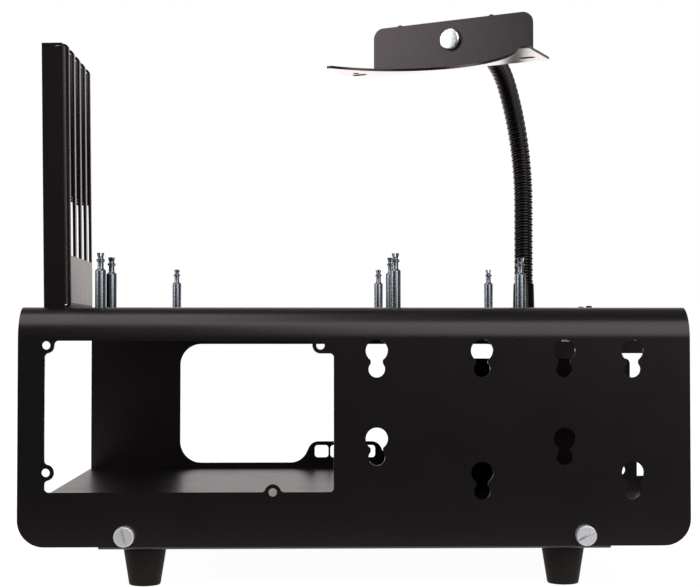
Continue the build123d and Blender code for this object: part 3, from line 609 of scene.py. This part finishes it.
def cut_slot(piece, wide, start, end):
    bpy.ops.object.select_all(action="DESELECT")
    bpy.ops.mesh.primitive_cube_add(size=1.0, location=(0, 0, (start + end) / 2 * MM))
    blade = bpy.context.object
    blade.scale = (blade_length * MM, wide * MM, (end - start) * MM)
    cut = piece.modifiers.new("slot", "BOOLEAN")
    cut.operation = "DIFFERENCE"
    cut.object = blade
    only(piece)
    bpy.ops.object.modifier_apply(modifier=cut.name)
    discard(blade)


# %% [markdown]
# ## Main board standoffs
# Eight turned pins stand on the tray. A thin neck and a split, grooved head let a board snap on
# without screws. One pin is turned, split crosswise by two cuts and softened, and copied to all eight
# places. Each is screwed in by hand, so every split points its own way.

# %% Standoffs
split_wide = 1.3
split_start = 27.0
split_end = 30.9
bevel_from = 15
crisp_from = 16
pin_profile = [(0, -6), (1.7, -6), (1.7, 0), (2.85, 0), (2.85, 19.6), (2.6, 20), (2.1, 20.2), (1.75, 20.6),
               (1.6, 21.2), (1.6, 24.2), (2.25, 24.5), (2.25, 25.4), (1.6, 25.8), (1.45, 26.5), (1.8, 27.6),
               (2.05, 28.9), (1.8, 28.9), (0.5, 27.6), (0, 27.6)]
pin = turned("pin pattern", pin_profile)
cut_slot(pin, split_wide, split_start, split_end)
settle(pin, Matrix.Rotation(math.radians(90), 4, "Z"))
cut_slot(pin, split_wide, split_start, split_end)
soften(pin, 0.08 * MM, angle=bevel_from)
bpy.ops.object.shade_smooth_by_angle(angle=math.radians(crisp_from))
turns = {"front_left": 20, "front_centre": 75, "middle_left": 40, "middle_centre": 110, "middle_right": 5,
         "rear_left": 60, "rear_centre": 130, "rear_right": 90}
shell_low, shell_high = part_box("top_shell")
tray_top = shell_high.z
for place_name, turn in turns.items():
    low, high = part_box("standoff_" + place_name)
    middle = (low + high) / 2
    spin = Matrix.Rotation(math.radians(turn), 4, "Z")
    spot = Matrix.Translation((middle.x, middle.y, tray_top)) @ spin
    stand_for(twin(pin, "pin_" + place_name, spot), "standoff_" + place_name)
discard(pin)
print("pins", len(turns))

# %% [markdown]
# ## Rubber feet
# Each foot is a moulded cone with rounded rims and a deep pocket for its screw. The rims are bevelled
# in three steps, so the light runs softly round them. The screw's head lies in the pocket with its
# washer above it, and its slot opens downward.

# %% Feet and their screws
foot_profile = [(2.1, 20), (11.2, 20), (8.0, 0), (4.5, 0), (4.5, 11), (2.1, 11), (2.1, 20)]
foot = turned("foot pattern", foot_profile, steps=64)
soften(foot, 0.8 * MM, segments=3)
screw_profile = [(0, 7.6), (2.7, 7.6), (3.5, 8.4), (3.5, 10.2), (4.3, 10.2), (4.3, 11), (2.0, 11),
                 (2.0, 25.5), (0, 25.5)]
foot_screw = turned("foot screw pattern", screw_profile, steps=32)
cut_slot(foot_screw, wide=0.9, start=6.6, end=9.6)
soften(foot_screw, 0.15 * MM)
corners = ("front_left", "front_right", "rear_left", "rear_right")
for corner in corners:
    low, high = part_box("foot_" + corner)
    middle = (low + high) / 2
    spot = Matrix.Translation((middle.x, middle.y, 0))
    stand_for(twin(foot, "rubber_foot_" + corner, spot), "foot_" + corner)
    stand_for(twin(foot_screw, "foot_screw_" + corner, spot), "foot_screws")
discard(foot)
discard(foot_screw)
print("feet", len(corners))

# %% [markdown]
# ## Knurled thumbscrews
# Four thumbscrews hold the shell to the base. Their rims are knurled, so that fingers grip them.
# The rim starts as a cylinder of 72 sides. Both end faces are inset twice and raised a little, which
# breaks the rim's edge. Every second upright edge is then pulled in, which leaves 36 ridges. The head
# is pressed back to its real thickness, and the slot is cut for a screwdriver.

# %% Thumbscrews
knurl_sides = 72
head_radius = 5.2
head_thick = 6.0
rim_insets = (0.33 * MM, 0.4 * MM)
face_inset = 0.15 * MM
crown = 1.12
knurl_valley = 0.945
outside_insets = 5.15 * MM


def thumbscrew(name):
    centre = (0, 0, head_thick / 2 * MM)
    bpy.ops.object.select_all(action="DESELECT")
    bpy.ops.mesh.primitive_cylinder_add(vertices=knurl_sides, radius=head_radius * MM,
                                        depth=head_thick * MM, location=centre)
    head = bpy.context.object
    head.name = name
    bpy.ops.object.transform_apply(location=True, rotation=True, scale=True)
    bpy.ops.object.mode_set(mode="EDIT")
    mesh = bmesh.from_edit_mesh(head.data)
    bpy.ops.mesh.select_all(action="DESELECT")
    bpy.ops.mesh.select_mode(type="FACE")
    for face in mesh.faces:
        face.select_set(abs(face.normal.z) > 0.9)
    bmesh.update_edit_mesh(head.data)
    for inset in rim_insets:
        bpy.ops.mesh.inset(thickness=inset)
    bpy.ops.transform.resize(value=(1, 1, crown), center_override=centre)
    bpy.ops.mesh.inset(thickness=face_inset)
    bpy.ops.mesh.select_mode(type="VERT")
    bpy.ops.mesh.select_all(action="DESELECT")
    mesh = bmesh.from_edit_mesh(head.data)
    for vertex in mesh.verts:
        on_rim = math.hypot(vertex.co.x, vertex.co.y) > outside_insets
        count = round(math.atan2(vertex.co.y, vertex.co.x) / math.tau * knurl_sides)
        vertex.select_set(on_rim and count % 2 == 1)
    bmesh.update_edit_mesh(head.data)
    bpy.ops.transform.resize(value=(knurl_valley, knurl_valley, 1), center_override=centre)
    bpy.ops.object.mode_set(mode="OBJECT")
    raised = head_thick * (crown - 1) / 2 * MM
    settle(head, Matrix.Scale(1 / crown, 4, (0, 0, 1)) @ Matrix.Translation((0, 0, raised)))
    cut_slot(head, wide=1.2, start=4.4, end=8.0)
    soften(head, 0.08 * MM, segments=1, angle=35)
    return head


head = thumbscrew("thumbscrew pattern")
shank_profile = [(0, -9), (1.6, -9), (2.0, -8.6), (2.0, 0.2), (0, 0.2)]
shank = turned("shank pattern", shank_profile, steps=32)
slot_turns = {"front_left": 110, "front_right": 28, "rear_left": 55, "rear_right": 10}
for corner, turn in slot_turns.items():
    low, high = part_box("thumbscrew_" + corner)
    middle = (low + high) / 2
    front = corner.startswith("front")
    wall_y = shell_low.y if front else shell_high.y
    lay_down = Matrix.Rotation(math.radians(90 if front else -90), 4, "X")
    spot = Matrix.Translation((middle.x, wall_y, middle.z)) @ lay_down
    spin = Matrix.Rotation(math.radians(turn), 4, "Z")
    stand_for(twin(head, "knurled_head_" + corner, spot @ spin), "thumbscrew_" + corner, frosted_zinc_painted_light)
    stand_for(twin(shank, "thumb_shank_" + corner, spot), "thumbscrew_" + corner)
discard(head)
discard(shank)
print("thumbscrews", len(slot_turns))

# %% [markdown]
# ## Flexible arm
# A gooseneck is wound from two wires: a round one, and a thin wedge between its turns. The two can
# slide on each other, so the tube bends and stays. Its line comes first: straight up from the lower
# sleeve, a long bend, a short bend, and a level run to the upper sleeve. The line lies in one upright
# plane, whose direction is the axis that the fan bracket tilts about.

# %% The arm's line
joints = {joint["name"]: joint for joint in record["behaviour"]["joints"]}
arm_place = Vector(joints["arm_turn"]["pos_m"])
heading = Vector(joints["fan_bracket_tilt"]["axis"]).normalized()
sleeve_length = 17.5
arm_foot = arm_place + Vector((0, 0, sleeve_length * MM))
straight = 46.9 * MM
long_bend = 120 * MM
long_angle = math.radians(35.5)
short_bend = 40 * MM
short_angle = math.radians(90) - long_angle
last_run = 18.6 * MM
tube_length = straight + long_bend * long_angle + short_bend * short_angle + last_run


def arm_spot(out, up):
    return arm_foot + heading * out + Vector((0, 0, up))


first = (0.0, straight)
second = (long_bend * (1 - math.cos(long_angle)), straight + long_bend * math.sin(long_angle))
centre = (second[0] + short_bend * math.cos(long_angle), second[1] - short_bend * math.sin(long_angle))
third = (centre[0], centre[1] + short_bend)
fourth = (third[0] + last_run, third[1])
long_pull = 4 / 3 * math.tan(long_angle / 4) * long_bend
short_pull = 4 / 3 * math.tan(short_angle / 4) * short_bend
slope = (math.sin(long_angle), math.cos(long_angle))
stops = [((0, 0), (0, -straight / 3), (0, straight / 3)),
         (first, (0, first[1] - straight / 3), (0, first[1] + long_pull)),
         (second, (second[0] - slope[0] * long_pull, second[1] - slope[1] * long_pull),
          (second[0] + slope[0] * short_pull, second[1] + slope[1] * short_pull)),
         (third, (third[0] - short_pull, third[1]), (third[0] + last_run / 3, third[1])),
         (fourth, (fourth[0] - last_run / 3, fourth[1]), (fourth[0] + last_run / 3, fourth[1]))]
line = bpy.data.curves.new("arm line", "CURVE")
line.dimensions = "3D"
line.resolution_u = 48
line.twist_mode = "MINIMUM"
spline = line.splines.new("BEZIER")
spline.bezier_points.add(len(stops) - 1)
for point, (spot, before, after) in zip(spline.bezier_points, stops):
    point.handle_left_type = "FREE"
    point.handle_right_type = "FREE"
    point.co = arm_spot(*spot)
    point.handle_left = arm_spot(*before)
    point.handle_right = arm_spot(*after)
arm_line = bpy.data.objects.new("arm line", line)
bpy.context.scene.collection.objects.link(arm_line)
print("arm line", round(tube_length / MM, 1), "mm long")

# %% [markdown]
# ## The arm's winding
# One turn of both wires is drawn as a line with a large and a small bump. A screw modifier winds it
# up past both ends of the tube. The winding is cut level at both ends and bent along the arm's line.
# The drawn turn is stretched by a hair, so that a whole number of turns fits.

# %% The wound tube
drawn_turn = 3.4
coil_radius = 5.1
wire_bulge = 0.62
wire_wide = 2.0
wire_steps = 7
wedge_bump = [(5.38, 2.25), (5.48, 2.70), (5.38, 3.15)]
steps_round = 36
turns_below = 1.5
spare_turns = 2
turn_count = round(tube_length / (drawn_turn * MM))
pitch = tube_length / turn_count
bump = [(coil_radius, 0.0)]
for step in range(1, wire_steps):
    angle = math.pi * step / wire_steps
    bump.append((coil_radius + wire_bulge * math.sin(angle), wire_wide / 2 * (1 - math.cos(angle))))
bump += [(coil_radius, wire_wide), *wedge_bump, (coil_radius, drawn_turn)]
stretch = pitch / (drawn_turn * MM)
first_level = -turns_below * pitch / MM
tube = drawn_line("wound_tube", [(radius, first_level + height * stretch) for radius, height in bump])
bpy.ops.object.mode_set(mode="OBJECT")
winding = tube.modifiers.new("winding", "SCREW")
winding.angle = math.tau
winding.screw_offset = pitch
winding.iterations = turn_count + spare_turns
winding.steps = steps_round
winding.render_steps = steps_round
winding.use_merge_vertices = True
winding.merge_threshold = weld_gap / 2
only(tube)
bpy.ops.object.modifier_apply(modifier=winding.name)
tidy_mesh(tube)
for level, up in ((0.0, -1), (tube_length, 1)):
    bpy.ops.object.mode_set(mode="EDIT")
    bpy.ops.mesh.select_all(action="SELECT")
    bpy.ops.mesh.bisect(plane_co=(0, 0, level), plane_no=(0, 0, up), use_fill=True, clear_outer=True)
    bpy.ops.object.mode_set(mode="OBJECT")
tidy_mesh(tube)
bending = tube.modifiers.new("bending", "CURVE")
bending.object = arm_line
bending.deform_axis = "POS_Z"
only(tube)
bpy.ops.object.modifier_apply(modifier=bending.name)
discard(arm_line)
bpy.ops.object.shade_smooth_by_angle(angle=math.radians(60))
stand_for(tube, "gooseneck_tube")
tube_box = [tuple(round(value / MM, 1) for value in corner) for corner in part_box("gooseneck_tube")]
made = [tube.matrix_world @ vertex.co for vertex in tube.data.vertices]
print("packed tube", tube_box)
print("wound tube", [tuple(round(pick(point[axis] for point in made) / MM, 1) for axis in range(3))
                     for pick in (min, max)])

# %% [markdown]
# ## Ferrules
# Both ends of the tube sit in turned steel sleeves, coated like the tube. The lower one is a slim
# cone with a rounded shoulder, and its stub goes through the tray. The upper one is straight, with a
# shallow ring turned near its rim and a bore for the fan screw at its far end.

# %% Ferrules
turned_steps = 64
turned_angle = 25
upper_length = 18.0
lower_profile = [(0, -12), (4.2, -12), (5.0, -11.2), (5.0, 0), (6.9, 0), (6.9, 1.2), (6.55, 1.5),
                 (6.2, 16.6), (5.6, sleeve_length), (4.6, sleeve_length), (4.6, 14), (0, 14)]
upper_profile = [(0, 4), (4.6, 4), (4.6, 0), (5.5, 0), (6.0, 0.5), (6.0, 3), (5.75, 3.3), (5.75, 3.9),
                 (6.0, 4.2), (6.0, 17.5), (5.5, upper_length), (2.5, upper_length), (2.5, 8), (0, 8)]
lower = turned("ferrule_lower", lower_profile, turned_steps)
soften(lower, 0.25 * MM, angle=turned_angle)
settle(lower, Matrix.Translation(arm_place))
stand_for(lower, "arm_base_ferrule")
upper = turned("ferrule_upper", upper_profile, turned_steps)
soften(upper, 0.2 * MM, angle=turned_angle)
aim = heading.to_track_quat("Z", "Y").to_matrix().to_4x4()
settle(upper, Matrix.Translation(arm_spot(*fourth)) @ aim)
stand_for(upper, "arm_end_ferrule")
print("ferrules", lower.name, "and", upper.name)

# %% [markdown]
# ## Fan screw
# One flat, round screw clamps the fan bracket to the arm, so the bracket can be tilted. Its face is
# plain and polished, its colour is painted nearly white as a painted highlight, and its rim is soft.
# It sits on the bracket's outer face, past the upper sleeve, the gap that lets the bracket turn, and
# the sheet.

# %% Fan screw
pivot_gap = 0.05
bracket_sheet = 1.5
fan_screw_profile = [(0, -9), (2.1, -9), (2.45, -8.6), (2.45, 0), (6.1, 0), (6.1, 1.9), (5.35, 2.6),
                     (0, 2.6)]
fan_screw = turned("fan_screw", fan_screw_profile, turned_steps)
soften(fan_screw, 0.25 * MM, segments=3, angle=turned_angle)
outer_face = arm_spot(*fourth) + heading * (upper_length + pivot_gap + bracket_sheet) * MM
settle(fan_screw, Matrix.Translation(outer_face) @ aim)
stand_for(fan_screw, "fan_thumbscrew", polished_zinc_painted_highlight)
print("fan screw at", [round(value / MM, 1) for value in outer_face])

# %% [markdown]
# ## Push buttons
# Two slim plastic plungers come up through the tray beside the arm. Each has a flange that keeps it
# from falling out, and a domed tip.

# %% Push buttons
labels = ("power", "reset")
for label in labels:
    low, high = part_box(label + "_button")
    middle = (low + high) / 2
    tall = (high.z - low.z) / MM
    plunger_profile = [(0, 0), (2.3, 0), (2.3, 1.2), (1.75, 1.2), (1.75, tall - 0.55), (1.3, tall - 0.12),
                       (0.6, tall), (0, tall)]
    plunger = turned(label + "_plunger", plunger_profile, steps=32)
    soften(plunger, 0.12 * MM, angle=turned_angle)
    settle(plunger, Matrix.Translation((middle.x, middle.y, low.z)))
    stand_for(plunger, label + "_button")
print("buttons", len(labels))

# %% [markdown]
# ## Pan head screws, nuts and the small board
# These sit under the tray or low inside the bench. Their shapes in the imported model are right, so
# copies with softened edges are enough.

# %% Small fixings
for small in ("card_bracket_screws", "drive_plate_screws", "button_hanger_studs", "foot_nuts",
              "standoff_nuts", "card_bracket_nuts", "drive_plate_nuts", "button_hanger_nuts", "arm_nut",
              "arm_washer", "press_nuts", "button_board", "button_header", "power_switch_case",
              "reset_switch_case"):
    round_and_place(merged_copy(small), small, 0.15 * MM, segments=1)
